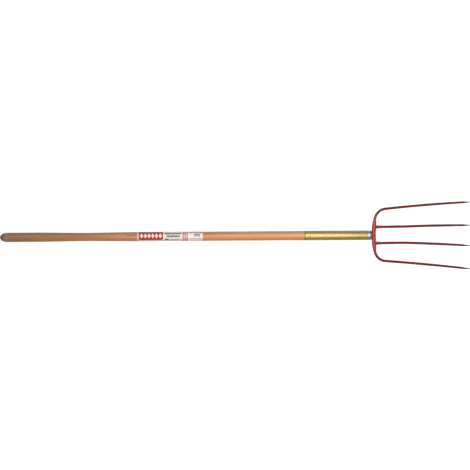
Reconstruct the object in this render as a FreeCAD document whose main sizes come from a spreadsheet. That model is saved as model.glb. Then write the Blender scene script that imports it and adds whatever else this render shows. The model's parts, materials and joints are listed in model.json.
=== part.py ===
import FreeCAD, Part
import math
import os
import Sketcher
from FreeCAD import Placement, Rotation, Vector

# A four-tine manure fork, lying at rest with the hollow of its tines up.
# Every piece is drawn in the tool's own frame: X runs along the handle from the
# butt to the tips, Y across the head, Z up. The last section lays it on the floor.

# Driving sizes, in millimetres and degrees
SIZES = {
    # Handle, turned hardwood
    "handle_length": 1100,
    "handle_radius": 14.0,
    "butt_radius": 14.2,
    "butt_nose_radius": 10.5,
    "butt_dome_length": 21,
    "butt_grip_end": 108,
    "grip_blend_radius": 1500,
    "waist_radius": 12.5,
    "waist_place": 258,
    "waist_blend_radius": 1800,
    "shank_start": 408,
    # Ferrule, drawn steel tube
    "ferrule_length": 190,
    "ferrule_radius": 14.3,
    "ferrule_wall": 1.2,
    "ferrule_edge_break": 0.4,
    "ferrule_fit_gap": 0.05,
    # Nail through the ferrule's upper wall into the wood, ending above the tang
    "nail_setback": 16,
    "nail_radius": 1.3,
    "nail_tang_gap": 1.2,
    "nail_point_length": 2.5,
    "nail_point_radius": 0.3,
    "nail_head_radius": 2.7,
    "nail_head_height": 0.9,
    "nail_head_bevel": 0.6,
    "nail_fit_gap": 0.05,
    # Cap that plugs the ferrule's front end
    "cap_plug_length": 4,
    "cap_fit_gap": 0.05,
    "cap_length": 11.8,
    "cap_radius": 14.2,
    "cap_round": 4.5,
    # Tang and neck of the forging
    "tang_length": 150,
    "tang_root_side": 9.5,
    "tang_end_side": 4.5,
    "tang_point_length": 12,
    "tang_point_side": 1.5,
    "tang_fit_gap": 0.05,
    "neck_radius": 7,
    "neck_runout": 3,
    "neck_runout_radius": 4,
    # Cross bar, bowed back to the neck and turned into the outer tines
    "bar_gap": 0.3,
    "bar_drop": 3,
    "bar_width": 12.5,
    "bar_root_width": 13.2,
    "bar_end_width": 8.7,
    "bar_bow_radius": 355,
    "bar_half_span": 47.5,
    "corner_radius": 36,
    # Tines
    "root_slope": 11,
    "dish_radius": 360,
    "tine_reach": 274,
    "tine_width": 6.3,
    "tine_end_width": 5.8,
    "outer_splay": 5.2,
    "inner_root_half": 24.4,
    "inner_root_width": 12.5,
    "inner_flare_place": 96,
    "inner_flare": 2.0,
    "point_length": 24,
    "point_end_width": 1.6,
    # Label, a printed film round the shank
    "label_inset": 1,
    "label_length": 201,
    "label_film": 0.12,
    "label_fit_gap": 0.02,
    # How far a cut runs past the surface it opens
    "overrun": 2,
}

doc = FreeCAD.newDocument("manure_fork")
sheet = doc.addObject("Spreadsheet::Sheet", "sizes")
for row, (alias, number) in enumerate(SIZES.items(), start=1):
    sheet.set("A%d" % row, alias)
    sheet.set("B%d" % row, str(number))
    sheet.setAlias("B%d" % row, alias)
doc.recompute()


# Places worked out from the sheet, as formulas that the features are bound to
def angle(name):
    return "(sizes.%s * 1deg)" % name


FERRULE_FRONT = "(sizes.handle_length + sizes.cap_plug_length)"
FERRULE_BACK = "(%s - sizes.ferrule_length)" % FERRULE_FRONT
CAP_FRONT = "(%s + sizes.cap_length)" % FERRULE_FRONT
NAIL_PLACE = "(%s + sizes.nail_setback)" % FERRULE_BACK
NAIL_SEAT = "sizes.ferrule_radius"
NAIL_TIP = "(sizes.tang_end_side / 2 + sizes.tang_fit_gap + sizes.nail_tang_gap)"
NAIL_LENGTH = "(%s - %s)" % (NAIL_SEAT, NAIL_TIP)
NECK_LENGTH = "(sizes.bar_gap + sizes.bar_width / 2)"
BAR_PLACE = "(%s + %s)" % (CAP_FRONT, NECK_LENGTH)
TANG_END = "(%s - sizes.tang_length)" % CAP_FRONT
TANG_TIP = "(%s - sizes.tang_point_length)" % TANG_END
TANG_TAPER = "((sizes.tang_root_side - sizes.tang_end_side) / sizes.tang_length)"


def value(formula):
    """The number that a formula gives, in millimetres or degrees."""
    result = sheet.evalExpression(formula)
    return float(getattr(result, "Value", result))


def new_body(name):
    body = doc.addObject("PartDesign::Body", name)
    body.Label = name
    return body


def new_sketch(body, name, role, offset=None, turn=None):
    """A sketch on one of the body's origin planes, moved along that plane's own axes."""
    plane = [feature for feature in body.Origin.OriginFeatures if feature.Role == role][0]
    sketch = body.newObject("Sketcher::SketchObject", name)
    sketch.AttachmentSupport = [(plane, "")]
    sketch.MapMode = "FlatFace"
    if turn:
        axis, formula = turn
        sketch.AttachmentOffset = Placement(Vector(), Rotation(axis, value(formula)))
        sketch.setExpression("AttachmentOffset.Rotation.Angle", formula)
    for letter, formula in (offset or {}).items():
        sketch.setExpression("AttachmentOffset.Base." + letter, formula)
    return sketch


def pin(sketch, element, point, letter, formula):
    """Binds one coordinate of a point to a formula."""
    if formula == "0":
        axis = {"x": -2, "y": -1}[letter]
        sketch.addConstraint(Sketcher.Constraint("PointOnObject", element, point, axis))
        return
    kind = {"x": "DistanceX", "y": "DistanceY"}[letter]
    number = value(formula)
    ends = (-1, 1, element, point)
    if number < 0:
        ends = (element, point, -1, 1)
        formula = "-(%s)" % formula
    index = sketch.addConstraint(Sketcher.Constraint(kind, *ends, abs(number)))
    sketch.setExpression("Constraints[%d]" % index, formula)


def trace(sketch, start, steps, closed=True):
    """Draws a chain from start: ("line", x, y) or ("arc", centre x, centre y, x, y) to each next
    point, all formulas. A closed chain ends with a line back to its start."""
    here = Vector(value(start[0]), value(start[1]))
    first = last = None
    for kind, *formulas in steps:
        there = Vector(value(formulas[-2]), value(formulas[-1]))
        if kind == "line":
            element = sketch.addGeometry(Part.LineSegment(here, there))
            begin, end = 1, 2
        else:
            centre = Vector(value(formulas[0]), value(formulas[1]))
            begin_angle = math.atan2(here.y - centre.y, here.x - centre.x)
            end_angle = math.atan2(there.y - centre.y, there.x - centre.x)
            turn = math.remainder(end_angle - begin_angle, math.tau)
            circle = Part.Circle(centre, Vector(0, 0, 1), (here - centre).Length)
            low, high = (begin_angle, begin_angle + turn) if turn > 0 else (begin_angle + turn, begin_angle)
            element = sketch.addGeometry(Part.ArcOfCircle(circle, low, high))
            begin, end = (1, 2) if turn > 0 else (2, 1)
            pin(sketch, element, 3, "x", formulas[0])
            pin(sketch, element, 3, "y", formulas[1])
        if last:
            sketch.addConstraint(Sketcher.Constraint("Coincident", *last, element, begin))
        else:
            first = (element, begin)
            pin(sketch, element, begin, "x", start[0])
            pin(sketch, element, begin, "y", start[1])
        if kind == "line":
            pin(sketch, element, end, "x", formulas[0])
            pin(sketch, element, end, "y", formulas[1])
        elif abs(there.y - centre.y) > abs(there.x - centre.x):
            pin(sketch, element, end, "x", formulas[2])
        else:
            pin(sketch, element, end, "y", formulas[3])
        last = (element, end)
        here = there
    if closed:
        home = Vector(value(start[0]), value(start[1]))
        element = sketch.addGeometry(Part.LineSegment(here, home))
        sketch.addConstraint(Sketcher.Constraint("Coincident", *last, element, 1))
        sketch.addConstraint(Sketcher.Constraint("Coincident", element, 2, *first))


def draw_square(sketch, side):
    """A square of that side about the sketch's origin."""
    near, far = "-(%s) / 2" % side, "(%s) / 2" % side
    trace(sketch, (near, near), [("line", far, near), ("line", far, far), ("line", near, far)])


def draw_circle(sketch, radius, centre_x="0"):
    element = sketch.addGeometry(Part.Circle(Vector(value(centre_x), 0), Vector(0, 0, 1), value(radius)))
    pin(sketch, element, 3, "x", centre_x)
    pin(sketch, element, 3, "y", "0")
    index = sketch.addConstraint(Sketcher.Constraint("Radius", element, value(radius)))
    sketch.setExpression("Constraints[%d]" % index, radius)


def revolve(body, name, sketch):
    """Turns an outline once about the sketch's horizontal axis."""
    feature = body.newObject("PartDesign::Revolution", name)
    feature.Profile = sketch
    feature.ReferenceAxis = (sketch, ["H_Axis"])
    feature.Angle = 360


def loft(body, kind, name, sections):
    """A straight-sided skin from each section to the next."""
    feature = body.newObject("PartDesign::" + kind, name)
    feature.Profile = sections[0]
    feature.Sections = sections[1:]
    feature.Ruled = True
    return feature


def cut_upwards(body, name, sketch, length):
    """A pocket from the sketch up through whatever lies above it."""
    feature = body.newObject("PartDesign::Pocket", name)
    feature.Profile = sketch
    feature.Reversed = True
    feature.setExpression("Length", length)
    return feature


# Handle: domed butt, waisted grip, straight shank, and a turned-down end for the ferrule
def taper_turn(run, rise):
    """Slope of the straight taper between a shoulder's blend and the waist's."""
    rounds = "(sizes.grip_blend_radius + sizes.waist_blend_radius)"
    level = "(%s - %s)" % (rounds, rise)
    return "(atan2(%s; %s) - acos(%s / sqrt(%s^2 + %s^2)))" % (run, level, rounds, run, level)


DOME_SIDE_RADIUS = (
    "(((sizes.butt_dome_length - sizes.butt_nose_radius)^2"
    " + sizes.butt_radius^2 - sizes.butt_nose_radius^2)"
    " / (2 * (sizes.butt_radius - sizes.butt_nose_radius)))"
)
DOME_SIDE_CENTRE = "(sizes.butt_radius - %s)" % DOME_SIDE_RADIUS
DOME_LEAN = "(sizes.butt_nose_radius / (%s - sizes.butt_nose_radius))" % DOME_SIDE_RADIUS
NOSE_END_X = (
    "(sizes.butt_nose_radius - (sizes.butt_dome_length - sizes.butt_nose_radius) * %s)" % DOME_LEAN
)
NOSE_END_R = "(-%s * %s)" % (DOME_SIDE_CENTRE, DOME_LEAN)
BACK_TAPER = taper_turn(
    "(sizes.waist_place - sizes.butt_grip_end)", "(sizes.butt_radius - sizes.waist_radius)"
)
FRONT_TAPER = taper_turn(
    "(sizes.shank_start - sizes.waist_place)", "(sizes.handle_radius - sizes.waist_radius)"
)
SHANK_BLEND_CENTRE = "(sizes.handle_radius - sizes.grip_blend_radius)"
SPIGOT_RADIUS = "(sizes.ferrule_radius - sizes.ferrule_wall - sizes.ferrule_fit_gap)"


def blend_point(place, radius, side, blend, turn):
    """Where a blend of the grip meets its taper, for a blend whose crest lies at place and radius.
    side is "+" where the taper lies in front of the crest; blend is signed, minus for a hollow."""
    run = "%s %s abs(%s) * sin(%s)" % (place, side, blend, turn)
    return run, "%s - (%s) * (1 - cos(%s))" % (radius, blend, turn)


GRIP_END = blend_point(
    "sizes.butt_grip_end", "sizes.butt_radius", "+", "sizes.grip_blend_radius", BACK_TAPER
)
WAIST_BACK = blend_point(
    "sizes.waist_place", "sizes.waist_radius", "-", "-sizes.waist_blend_radius", BACK_TAPER
)
WAIST_FRONT = blend_point(
    "sizes.waist_place", "sizes.waist_radius", "+", "-sizes.waist_blend_radius", FRONT_TAPER
)
SHANK_BACK = blend_point(
    "sizes.shank_start", "sizes.handle_radius", "-", "sizes.grip_blend_radius", FRONT_TAPER
)

handle = new_body("handle")
handle_outline = new_sketch(handle, "handle_outline", "XZ_Plane")
trace(
    handle_outline,
    ("0", "0"),
    [
        ("arc", "sizes.butt_nose_radius", "0", NOSE_END_X, NOSE_END_R),
        ("arc", "sizes.butt_dome_length", DOME_SIDE_CENTRE, "sizes.butt_dome_length", "sizes.butt_radius"),
        ("line", "sizes.butt_grip_end", "sizes.butt_radius"),
        ("arc", "sizes.butt_grip_end", "sizes.butt_radius - sizes.grip_blend_radius", *GRIP_END),
        ("line", *WAIST_BACK),
        ("arc", "sizes.waist_place", "sizes.waist_radius + sizes.waist_blend_radius", *WAIST_FRONT),
        ("line", *SHANK_BACK),
        ("arc", "sizes.shank_start", SHANK_BLEND_CENTRE, "sizes.shank_start", "sizes.handle_radius"),
        ("line", FERRULE_BACK, "sizes.handle_radius"),
        ("line", FERRULE_BACK, SPIGOT_RADIUS),
        ("line", "sizes.handle_length", SPIGOT_RADIUS),
        ("line", "sizes.handle_length", "0"),
    ],
)
revolve(handle, "handle_turning", handle_outline)


def tang_section(body, name, place, side):
    """A square across the tang's axis, in a body drawn in the tool's frame."""
    sketch = new_sketch(body, name, "YZ_Plane", {"z": place})
    draw_square(sketch, "(%s + 2 * sizes.tang_fit_gap)" % side)
    return sketch


tang_bore = loft(
    handle,
    "SubtractiveLoft",
    "tang_bore",
    [
        tang_section(
            handle,
            "bore_mouth",
            "sizes.handle_length",
            "sizes.tang_end_side + %s * (sizes.handle_length - %s)" % (TANG_TAPER, TANG_END),
        ),
        tang_section(handle, "bore_end", TANG_END, "sizes.tang_end_side"),
        tang_section(handle, "bore_tip", TANG_TIP + " - sizes.tang_fit_gap", "sizes.tang_point_side"),
    ],
)

NAIL_HOLE_END = "(%s - sizes.nail_fit_gap)" % NAIL_TIP
nail_hole_outline = new_sketch(handle, "nail_hole_outline", "XY_Plane", {"z": NAIL_HOLE_END})
draw_circle(nail_hole_outline, "sizes.nail_radius + sizes.nail_fit_gap", NAIL_PLACE)
cut_upwards(handle, "nail_hole", nail_hole_outline, NAIL_LENGTH + " + sizes.overrun")


# Ferrule: pushed over the turned-down end, drilled once for the nail
ferrule = new_body("ferrule")
ferrule_outline = new_sketch(ferrule, "ferrule_outline", "XZ_Plane")
trace(
    ferrule_outline,
    (FERRULE_BACK, "sizes.ferrule_radius - sizes.ferrule_wall"),
    [
        ("line", FERRULE_BACK, "sizes.ferrule_radius - sizes.ferrule_edge_break"),
        ("line", FERRULE_BACK + " + sizes.ferrule_edge_break", "sizes.ferrule_radius"),
        ("line", FERRULE_FRONT + " - sizes.ferrule_edge_break", "sizes.ferrule_radius"),
        ("line", FERRULE_FRONT, "sizes.ferrule_radius - sizes.ferrule_edge_break"),
        ("line", FERRULE_FRONT, "sizes.ferrule_radius - sizes.ferrule_wall"),
    ],
)
revolve(ferrule, "ferrule_tube", ferrule_outline)
nail_bore_outline = new_sketch(ferrule, "nail_bore_outline", "XY_Plane")
draw_circle(nail_bore_outline, "sizes.nail_radius + sizes.nail_fit_gap", NAIL_PLACE)
cut_upwards(ferrule, "nail_bore", nail_bore_outline, "sizes.ferrule_radius + sizes.overrun")


# Nail: bevelled head on the ferrule, round shank and a short point
ferrule_nail = new_body("ferrule_nail")
nail_outline = new_sketch(
    ferrule_nail,
    "nail_outline",
    "XZ_Plane",
    {"x": NAIL_PLACE, "y": NAIL_SEAT},
    (Vector(0, 0, 1), "90"),
)
trace(
    nail_outline,
    ("-" + NAIL_LENGTH, "0"),
    [
        ("line", "-" + NAIL_LENGTH, "sizes.nail_point_radius"),
        ("line", "sizes.nail_point_length - " + NAIL_LENGTH, "sizes.nail_radius"),
        ("line", "0", "sizes.nail_radius"),
        ("line", "0", "sizes.nail_head_radius"),
        ("line", "sizes.nail_head_height - sizes.nail_head_bevel", "sizes.nail_head_radius"),
        ("line", "sizes.nail_head_height", "sizes.nail_head_radius - sizes.nail_head_bevel"),
        ("line", "sizes.nail_head_height", "0"),
    ],
)
revolve(ferrule_nail, "nail_turning", nail_outline)


# Ferrule cap: plug inside the ferrule, rounded collar in front, square hole for the tang
PLUG_RADIUS = "(sizes.ferrule_radius - sizes.ferrule_wall - sizes.cap_fit_gap)"
CAP_SHOULDER = "(%s - sizes.cap_round)" % CAP_FRONT
# The collar's round is pressed in two flats
ROUND_MIDDLE_X = "(%s + sizes.cap_round * sin(45))" % CAP_SHOULDER
ROUND_MIDDLE_R = "(sizes.cap_radius - sizes.cap_round * (1 - cos(45)))"
ferrule_cap = new_body("ferrule_cap")
cap_outline = new_sketch(ferrule_cap, "cap_outline", "XZ_Plane")
trace(
    cap_outline,
    ("sizes.handle_length", "0"),
    [
        ("line", "sizes.handle_length", PLUG_RADIUS),
        ("line", FERRULE_FRONT, PLUG_RADIUS),
        ("line", FERRULE_FRONT, "sizes.cap_radius"),
        ("line", CAP_SHOULDER, "sizes.cap_radius"),
        ("line", ROUND_MIDDLE_X, ROUND_MIDDLE_R),
        ("line", CAP_FRONT, "sizes.cap_radius - sizes.cap_round"),
        ("line", CAP_FRONT, "0"),
    ],
)
revolve(ferrule_cap, "cap_turning", cap_outline)
cap_hole_outline = tang_section(
    ferrule_cap, "cap_hole_outline", "sizes.handle_length", "sizes.tang_root_side"
)
cap_hole = ferrule_cap.newObject("PartDesign::Pocket", "cap_hole")
cap_hole.Profile = cap_hole_outline
cap_hole.Type = "ThroughAll"
cap_hole.Reversed = True


# Fork head: its body's XY plane is the plane of the bar and the tines' roots, which
# slopes down from the neck, with the middle of the cross bar at the body's origin
BAR_TURN = "asin(sizes.bar_half_span / sizes.bar_bow_radius)"
BAR_END_X = "(sizes.bar_bow_radius * (1 - cos(%s)))" % BAR_TURN
CORNER_CENTRE_X = "(%s + sizes.corner_radius * cos(%s))" % (BAR_END_X, BAR_TURN)
CORNER_CENTRE_Y = "(sizes.bar_half_span - sizes.corner_radius * sin(%s))" % BAR_TURN
CORNER_END_X = "(%s - sizes.corner_radius * sin(%s))" % (CORNER_CENTRE_X, angle("outer_splay"))
CORNER_END_Y = "(%s + sizes.corner_radius * cos(%s))" % (CORNER_CENTRE_Y, angle("outer_splay"))
FLARE_RUN = "(sizes.inner_flare_place - %s)" % CORNER_END_X
FLARE_TURN = "asin(%s / sizes.dish_radius)" % FLARE_RUN
OUTER_TURN = (
    "asin((sizes.tine_reach - %s) / (sizes.dish_radius * cos(%s)))" % (CORNER_END_X, angle("outer_splay"))
)
INNER_TURN = (
    "asin((sizes.tine_reach - sizes.inner_flare_place) / (sizes.dish_radius * cos(%s))"
    " + %s / sizes.dish_radius)" % (angle("inner_flare"), FLARE_RUN)
)
UPRIGHT = Vector(0, 1, 0)

# A forged section over half its width: its depth, the rounds of its ends and flanks, their
# centres, and the joint between them
DEPTH_SHARE = 1.25
END_ROUND_SHARE = 0.75
END_CENTRE_SHARE = DEPTH_SHARE - END_ROUND_SHARE
FLANK_ROUND_SHARE = (END_CENTRE_SHARE**2 + 1 - END_ROUND_SHARE**2) / (2 * (1 - END_ROUND_SHARE))
FLANK_CENTRE_SHARE = FLANK_ROUND_SHARE - 1
OVAL_LEAN = math.atan2(END_CENTRE_SHARE, FLANK_CENTRE_SHARE)
OVAL_JOINT_SHARES = (
    FLANK_ROUND_SHARE * math.cos(OVAL_LEAN) - FLANK_CENTRE_SHARE,
    FLANK_ROUND_SHARE * math.sin(OVAL_LEAN),
)

fork_head = new_body("fork_head")
bow_path = new_sketch(fork_head, "bow_path", "XY_Plane")
trace(
    bow_path,
    ("0", "0"),
    [
        ("arc", "sizes.bar_bow_radius", "0", BAR_END_X, "-sizes.bar_half_span"),
        ("arc", CORNER_CENTRE_X, "-" + CORNER_CENTRE_Y, CORNER_END_X, "-" + CORNER_END_Y),
    ],
    closed=False,
)


def dish_arc(begin_turn, end_turn, start_x="0"):
    """The start of the tines' hollow curve in its own upright plane, and the step along it."""
    point_x = "%s + sizes.dish_radius * sin(%s)"
    point_z = "sizes.dish_radius * (1 - cos(%s))"
    start = (point_x % (start_x, begin_turn), point_z % begin_turn)
    return start, ("arc", start_x, "sizes.dish_radius", point_x % (start_x, end_turn), point_z % end_turn)


outer_path = new_sketch(
    fork_head,
    "outer_path",
    "XZ_Plane",
    {"x": CORNER_END_X, "z": CORNER_END_Y},
    (UPRIGHT, "-" + angle("outer_splay")),
)
outer_arc = dish_arc("0deg", OUTER_TURN)[1]
trace(outer_path, ("0", "0"), [outer_arc], closed=False)

root_path = new_sketch(fork_head, "root_path", "XZ_Plane", {"z": "sizes.inner_root_half"})
root_arc = dish_arc("0deg", FLARE_TURN, CORNER_END_X)[1]
trace(root_path, ("0", "0"), [("line", CORNER_END_X, "0"), root_arc], closed=False)

inner_path = new_sketch(
    fork_head,
    "inner_path",
    "XZ_Plane",
    {
        "x": "sizes.inner_flare_place - %s * cos(%s)" % (FLARE_RUN, angle("inner_flare")),
        "z": "sizes.inner_root_half - %s * sin(%s)" % (FLARE_RUN, angle("inner_flare")),
    },
    (UPRIGHT, "-" + angle("inner_flare")),
)
inner_start, inner_arc = dish_arc(FLARE_TURN, INNER_TURN)
trace(inner_path, inner_start, [inner_arc], closed=False)
doc.recompute()


def draw_oval(sketch, width):
    """A forged bar's section: long flank arcs joined by tight end arcs, each tangent to the next."""
    joint_x, joint_y = OVAL_JOINT_SHARES
    quarters = (
        (-FLANK_CENTRE_SHARE, 0, joint_x, -joint_y),
        (0, END_CENTRE_SHARE, joint_x, joint_y),
        (FLANK_CENTRE_SHARE, 0, -joint_x, joint_y),
        (0, -END_CENTRE_SHARE, -joint_x, -joint_y),
    )
    half = value(width) / 2
    arcs = []
    for number, (centre_x, centre_y, start_x, start_y) in enumerate(quarters):
        end_x, end_y = quarters[number - 3][2:]
        low = math.atan2(start_y - centre_y, start_x - centre_x)
        turn = math.remainder(math.atan2(end_y - centre_y, end_x - centre_x) - low, math.tau)
        radius = math.hypot(start_x - centre_x, start_y - centre_y)
        circle = Part.Circle(Vector(centre_x, centre_y) * half, Vector(0, 0, 1), radius * half)
        arcs.append(sketch.addGeometry(Part.ArcOfCircle(circle, low, low + turn)))
    for number, arc in enumerate(arcs):
        sketch.addConstraint(Sketcher.Constraint("Coincident", arc, 2, arcs[number - 3], 1))
    for arc, (centre_x, centre_y, start_x, start_y) in zip(arcs, quarters):
        places = {(3, "x"): centre_x, (3, "y"): centre_y, (1, "x"): start_x, (1, "y"): start_y}
        if arc == arcs[-1]:
            del places[3, "x"]
        if arc != arcs[0]:
            del places[1, "y" if arc == arcs[1] else "x"]
        for (point, letter), share in places.items():
            pin(sketch, arc, point, letter, "%s * %s / 2" % (share, width) if share else "0")


def oval(name, path, edge, place, width):
    """A section square to a path, at that share of one of its edges."""
    sketch = fork_head.newObject("Sketcher::SketchObject", name)
    sketch.AttachmentSupport = [(path, edge)]
    sketch.MapMode = "NormalToEdge"
    sketch.MapPathParameter = value(place)
    sketch.setExpression("MapPathParameter", place)
    draw_oval(sketch, width)
    return sketch


def between(first, second, share):
    return "(%s + (%s - %s) * %s)" % (first, second, first, share)


def tine_sections(name, path, turn, begin_turn):
    """Ovals down a tine from its dished part to its ground point."""
    point_turn = "(sizes.point_length / sizes.dish_radius * 1rad / (%s - %s))" % (turn, begin_turn)
    sections = []
    for step in range(1, TINE_STEPS + 1):
        place = "%s * (1 - %s)" % (step / TINE_STEPS, point_turn)
        width = between("sizes.tine_width", "sizes.tine_end_width", step / TINE_STEPS)
        sections.append(oval("%s_section" % name, path, "Edge1", place, width))
    for station, share in POINT_SHARES:
        place = "1 - %s * %s" % (1 - station, point_turn)
        width = between("sizes.point_end_width", "sizes.tine_end_width", share)
        sections.append(oval("%s_point" % name, path, "Edge1", place, width))
    return sections


# Sections of the bar from an inner tine to its end: how far along, and how much narrower
BAR_SHARES = ((0, 0), (0.3, 0.18), (0.6, 0.52), (1, 1))
# Sections of an inner root: how far out, and how much of the root's extra width is left
ROOT_FLARE_SHARES = ((0, 1), (0.2, 0.66), (0.36, 0.38), (0.6, 0.15), (1, 0))
# Sections of a point: how far along it, and how much of its width is left
POINT_SHARES = ((0.35, 0.85), (0.7, 0.48), (1, 0))
# Even steps between the sections of the longer stretches
CORNER_STEPS = 6
ROOT_STEPS = 2
TINE_STEPS = 8

ROOT_PLACE = "(asin(sizes.inner_root_half / sizes.bar_bow_radius) / %s)" % BAR_TURN
bow_sections = [oval("bar_middle", bow_path, "Edge1", "0", "sizes.bar_width")]
for share, narrowing in BAR_SHARES:
    place = between(ROOT_PLACE, "1", share)
    width = between("sizes.bar_root_width", "sizes.bar_end_width", narrowing)
    bow_sections.append(oval("bar_section", bow_path, "Edge1", place, width))
for step in range(1, CORNER_STEPS + 1):
    share = step / CORNER_STEPS
    width = between("sizes.bar_end_width", "sizes.tine_width", 1 - (1 - share) ** 2)
    bow_sections.append(oval("corner_section", bow_path, "Edge2", str(share), width))
bow_sections += tine_sections("outer", outer_path, OUTER_TURN, "0deg")
half_bow = loft(fork_head, "AdditiveLoft", "half_bow", bow_sections)

root_sections = []
for place, share in ROOT_FLARE_SHARES:
    width = between("sizes.tine_width", "sizes.inner_root_width", share)
    root_sections.append(oval("root_section", root_path, "Edge1", str(place), width))
for step in range(1, ROOT_STEPS + 1):
    place = str(step / ROOT_STEPS)
    root_sections.append(oval("root_section", root_path, "Edge2", place, "sizes.tine_width"))
root_sections += tine_sections("inner", inner_path, INNER_TURN, FLARE_TURN)
inner_tine = loft(fork_head, "AdditiveLoft", "inner_tine", root_sections)

middle_plane = [feature for feature in fork_head.Origin.OriginFeatures if feature.Role == "XZ_Plane"][0]
other_half = fork_head.newObject("PartDesign::Mirrored", "other_half")
other_half.Originals = [half_bow, inner_tine]
other_half.MirrorPlane = (middle_plane, [""])
fork_head.Tip = other_half


def across_tang(name, place):
    """A sketch square to the tang's axis, at that distance in front of the bar's middle."""
    lean = angle("root_slope")
    offset = {
        "y": "sizes.bar_drop * cos(%s) + (%s) * sin(%s)" % (lean, place, lean),
        "z": "-sizes.bar_drop * sin(%s) + (%s) * cos(%s)" % (lean, place, lean),
    }
    return new_sketch(fork_head, name, "YZ_Plane", offset, (Vector(1, 0, 0), "-" + lean))


neck_sections = []
for name, place, radius in (
    ("neck_seat", "-" + NECK_LENGTH, "sizes.neck_radius"),
    ("neck_runout_end", "sizes.neck_runout", "sizes.neck_runout_radius"),
):
    sketch = across_tang(name, place)
    draw_circle(sketch, radius)
    neck_sections.append(sketch)
loft(fork_head, "AdditiveLoft", "neck", neck_sections)

tang_sections = []
TANG_REACH = "(%s + sizes.tang_length)" % NECK_LENGTH
for name, place, side in (
    ("tang_root", "0", "sizes.tang_root_side"),
    ("tang_seat", "-" + NECK_LENGTH, "sizes.tang_root_side"),
    ("tang_end", "-" + TANG_REACH, "sizes.tang_end_side"),
    ("tang_tip", "-%s - sizes.tang_point_length" % TANG_REACH, "sizes.tang_point_side"),
):
    sketch = across_tang(name, place)
    draw_square(sketch, side)
    tang_sections.append(sketch)
loft(fork_head, "AdditiveLoft", "tang", tang_sections)


# Label: film wrapped once round the shank, where the grip's taper ends
LABEL_BACK = "(sizes.shank_start + sizes.label_inset)"
LABEL_FRONT = "(%s + sizes.label_length)" % LABEL_BACK
LABEL_INSIDE = "(sizes.handle_radius + sizes.label_fit_gap)"
LABEL_OUTSIDE = "(%s + sizes.label_film)" % LABEL_INSIDE
handle_label = new_body("handle_label")
label_outline = new_sketch(handle_label, "label_outline", "XZ_Plane")
trace(
    label_outline,
    (LABEL_BACK, LABEL_INSIDE),
    [
        ("line", LABEL_FRONT, LABEL_INSIDE),
        ("line", LABEL_FRONT, LABEL_OUTSIDE),
        ("line", LABEL_BACK, LABEL_OUTSIDE),
    ],
)
revolve(handle_label, "label_wrap", label_outline)
doc.recompute()


# Rest: the fork lies on its butt and on the bellies of its inner tines. It starts level, and
# each round turns it by what its lower end stands below the other
bodies = [handle, ferrule, ferrule_cap, ferrule_nail, fork_head, handle_label]
own = {body: Placement() for body in bodies}
own[fork_head] = Placement(
    Vector(value(BAR_PLACE), 0, -value("sizes.bar_drop")),
    Rotation(Vector(0, 1, 0), value("sizes.root_slope")),
)
LEVELLING_ROUNDS = 4
lift = 0
for round_number in range(LEVELLING_ROUNDS):
    for body in bodies:
        body.Placement = Placement(Vector(), Rotation(Vector(0, 1, 0), -lift)).multiply(own[body])
    doc.recompute()
    below = handle.Shape.optimalBoundingBox(False).ZMin - fork_head.Shape.optimalBoundingBox(False).ZMin
    lift += math.degrees(below / value(BAR_PLACE))

box = FreeCAD.BoundBox()
for body in bodies:
    box.add(body.Shape.optimalBoundingBox(False))
to_floor = Placement(-Vector(box.Center.x, box.Center.y, box.ZMin), Rotation())
for body in bodies:
    body.Placement = to_floor.multiply(body.Placement)
doc.recompute()

for feature in doc.Objects:
    if {"Invalid", "Error"} & set(feature.State):
        raise RuntimeError("%s did not build: %s" % (feature.Name, feature.State))
for body in bodies:
    if body.Shape.isNull() or not body.Shape.isValid() or len(body.Shape.Solids) != 1:
        raise RuntimeError("%s is not one valid solid" % body.Label)

os.makedirs("parts", exist_ok=True)
for body in bodies:
    body.Shape.exportStep("parts/%s.step" % body.Label)
    print("%-14s %9.0f mm3" % (body.Label, body.Shape.Volume))
print("handle lifted %.3f degrees, box %.1f x %.1f x %.1f" % (lift, box.XLength, box.YLength, box.ZLength))
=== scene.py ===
import json
import math
import bmesh
import bpy
from mathutils import Matrix, Vector


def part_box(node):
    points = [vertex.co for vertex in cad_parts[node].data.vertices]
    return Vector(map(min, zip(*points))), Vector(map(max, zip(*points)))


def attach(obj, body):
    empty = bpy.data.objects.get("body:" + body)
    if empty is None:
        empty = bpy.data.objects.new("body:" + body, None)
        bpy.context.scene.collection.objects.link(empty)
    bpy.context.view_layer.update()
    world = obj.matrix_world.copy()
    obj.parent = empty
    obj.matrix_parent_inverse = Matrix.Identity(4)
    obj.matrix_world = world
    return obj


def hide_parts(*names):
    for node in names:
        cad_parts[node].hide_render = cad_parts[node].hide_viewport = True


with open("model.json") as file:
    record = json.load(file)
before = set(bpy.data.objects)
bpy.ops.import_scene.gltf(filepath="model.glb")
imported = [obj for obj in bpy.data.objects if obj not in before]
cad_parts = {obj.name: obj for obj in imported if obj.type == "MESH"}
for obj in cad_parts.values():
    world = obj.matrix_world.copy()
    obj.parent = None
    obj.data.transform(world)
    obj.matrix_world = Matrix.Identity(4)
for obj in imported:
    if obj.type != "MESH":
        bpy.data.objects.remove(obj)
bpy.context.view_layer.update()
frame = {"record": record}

# Camera: the photograph looks down on the lying fork from far off through a long lens. It leans
# a few degrees back from straight above, and is turned by a third of a degree.
CAMERA_PLACE = (0.005, 0.5648, 8.0005)
CAMERA_LEAN = math.radians(-4.025)
CAMERA_ROLL = math.radians(-0.3655)
CAMERA_FOCAL_LENGTH = 204.2
CAMERA_REACH = 40
bpy.ops.object.camera_add(location=CAMERA_PLACE, rotation=(CAMERA_LEAN, 0, CAMERA_ROLL))
camera = bpy.context.object
camera.data.lens = CAMERA_FOCAL_LENGTH
camera.data.clip_end = CAMERA_REACH
bpy.context.scene.camera = camera
bpy.context.scene.view_settings.view_transform = "Standard"


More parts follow.
